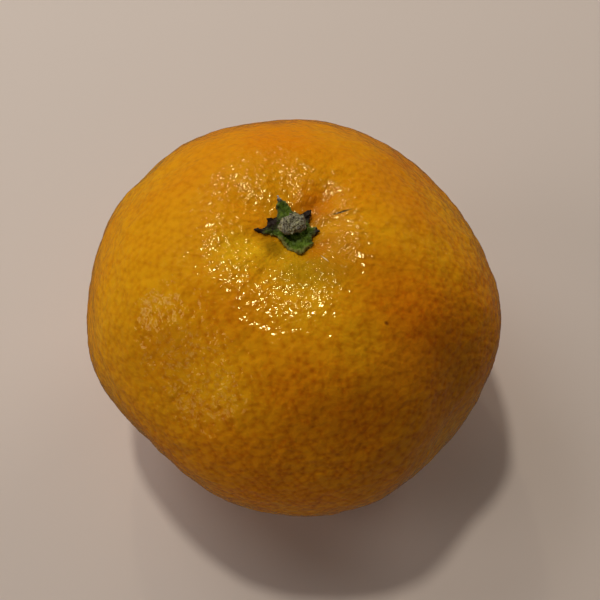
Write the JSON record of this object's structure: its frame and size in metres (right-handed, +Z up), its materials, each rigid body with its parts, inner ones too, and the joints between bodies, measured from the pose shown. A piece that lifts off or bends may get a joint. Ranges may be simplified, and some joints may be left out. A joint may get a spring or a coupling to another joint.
{
  "type": "mandarin orange",
  "caption": "Whole mandarin orange with a lobed, pitted orange rind, a green star-shaped calyx in its stem cavity and a short stub of stalk, resting on its base.",
  "frame": {"origin": "centre of the bounding box's bottom face, on the surface that the fruit rests on", "axes": "+Z up along the stem axis, from the blossom end to the stem end; -Y towards the viewer of the picture, +X to its right"},
  "size_m": [0.0674, 0.0674, 0.0511],
  "materials": {
    "rind": "waxy, pitted citrus rind, semi-gloss",
    "calyx": "matt green leaf tissue with dry brown tips",
    "stem_stub": "weathered, fibrous grey-brown stalk"
  },
  "bodies": {
    "root": {"fruit": "rind", "calyx": "calyx", "stem_stub": "stem_stub"}
  },
  "joints": []
}
